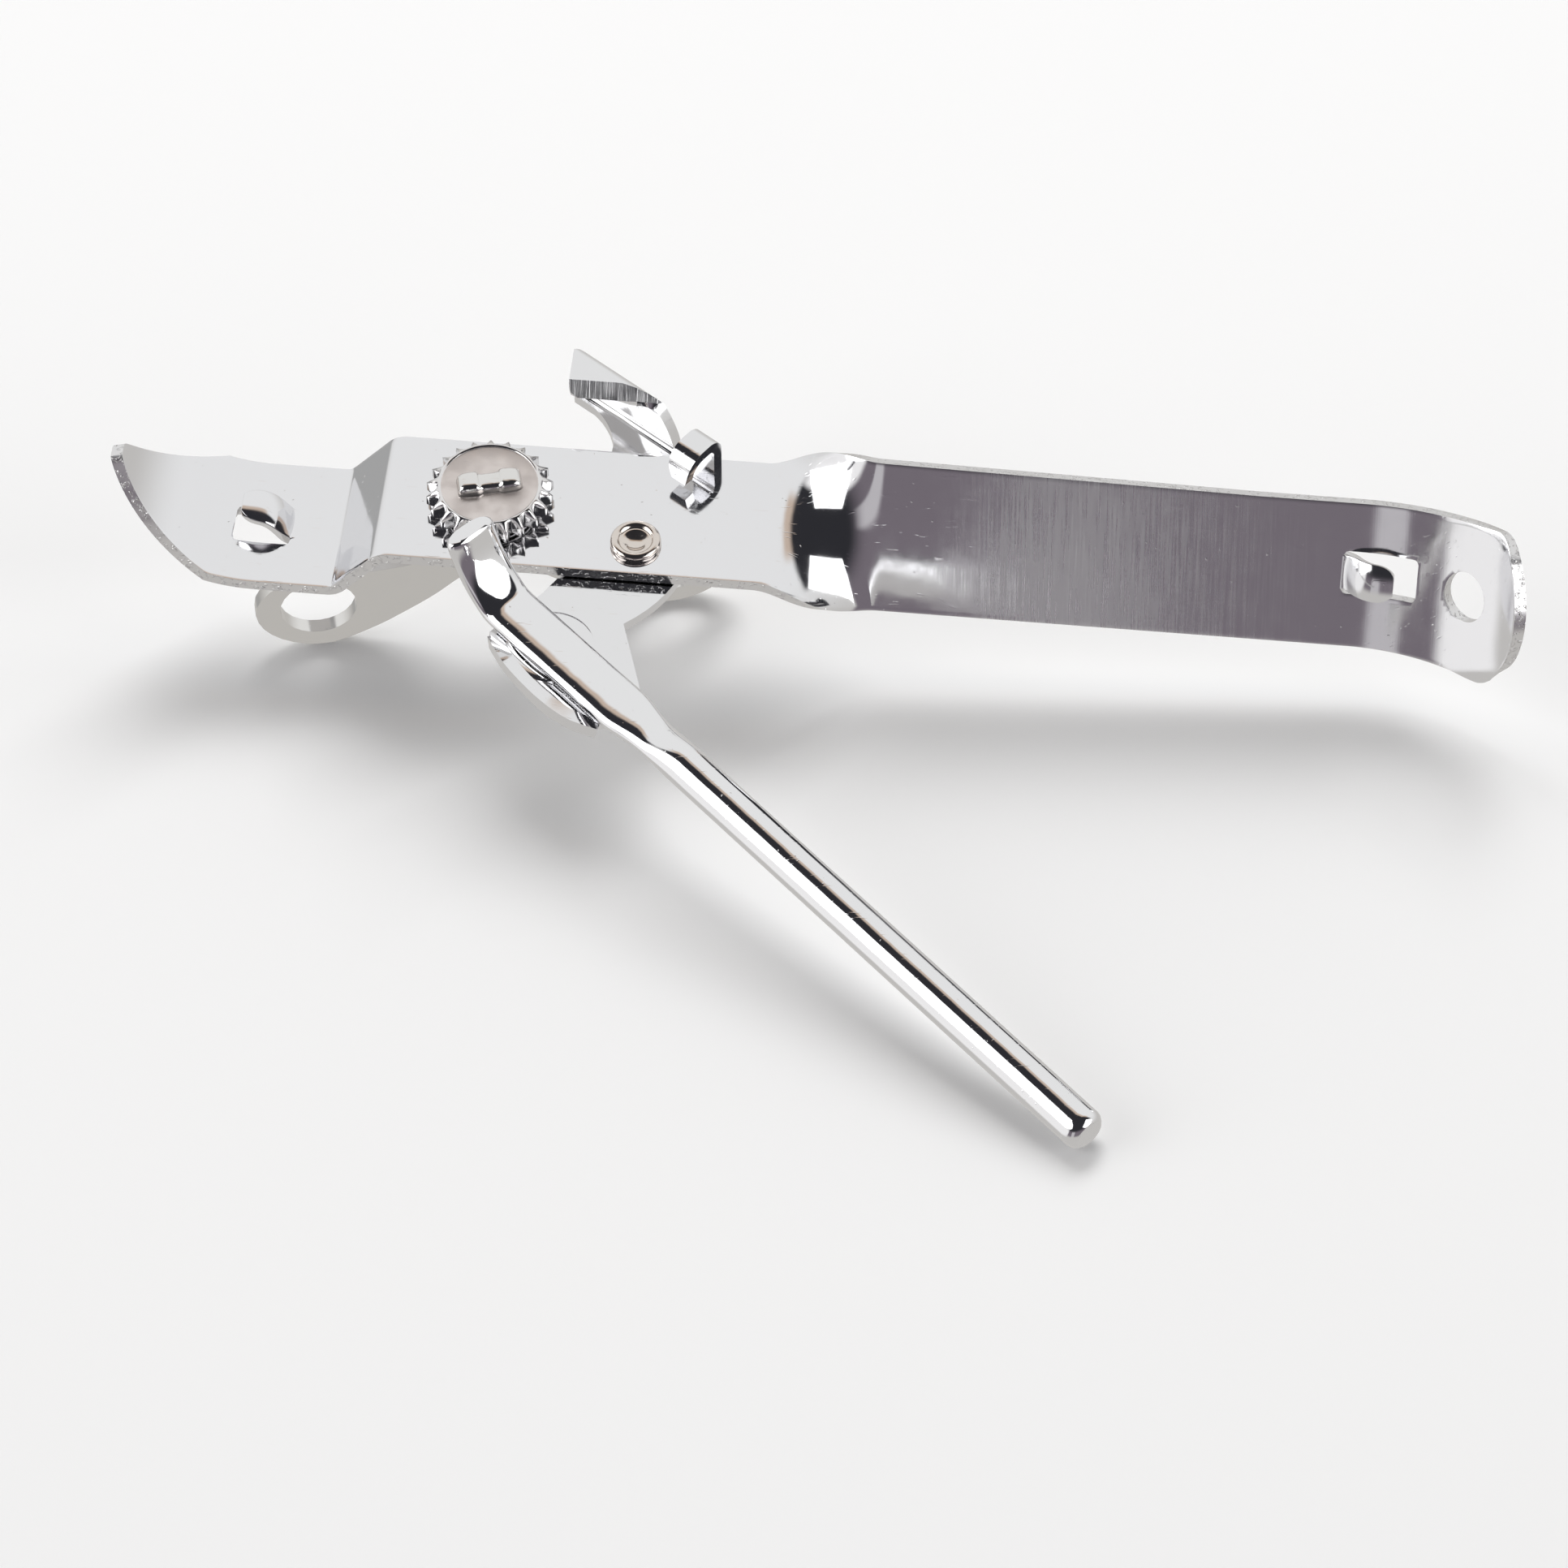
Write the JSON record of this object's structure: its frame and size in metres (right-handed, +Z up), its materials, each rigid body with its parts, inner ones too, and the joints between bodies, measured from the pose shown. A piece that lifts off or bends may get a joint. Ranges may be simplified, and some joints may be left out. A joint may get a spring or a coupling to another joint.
{
  "type": "manual can opener",
  "caption": "Manual can opener in chromed steel: twisted handle bar with a bottle-opener claw, toothed feed wheel on a butterfly key, and a pivoting knife lever with a rod handle.",
  "frame": {"origin": "centre of the bounding box at its base, which is the table the opener lies on", "axes": "+X along the handle bar towards its hanging hole, +Z up, -Y towards the side the rod handle opens to"},
  "size_m": [0.1844, 0.1142, 0.0331],
  "materials": {
    "bar_chrome": "bright plated, with a fine grain across the grip",
    "lever_chrome": "bright plated, with a ground bevel under the knife",
    "rod_chrome": "bright plated",
    "wheel_steel": "satin disc with bright cut teeth",
    "key_chrome": "bright plated, slightly duller",
    "eyelet_nickel": "bright nickel",
    "washer_steel": "plain"
  },
  "bodies": {
    "bar": {"handle_bar": "bar_chrome", "pivot_eyelet": "eyelet_nickel", "spring_washer": "washer_steel", "wheel_washer": "washer_steel", "pivot_washer": "washer_steel"},
    "lever": {"knife_lever": "lever_chrome", "rod_handle": "rod_chrome"},
    "drive": {"feed_wheel": "wheel_steel", "butterfly_key": "key_chrome"}
  },
  "joints": [
    {"name": "lever_pivot", "type": "hinge", "parent": "bar", "child": "lever", "pos_m": [-0.02305, 0.02793, 0.02184], "axis": [0.0487, -0.1861, 0.9813], "range_deg": [0, 28]},
    {"name": "key_turn", "type": "hinge", "parent": "bar", "child": "drive", "pos_m": [-0.04273, 0.03286, 0.02375], "axis": [0.0487, -0.1861, 0.9813], "continuous": true}
  ]
}
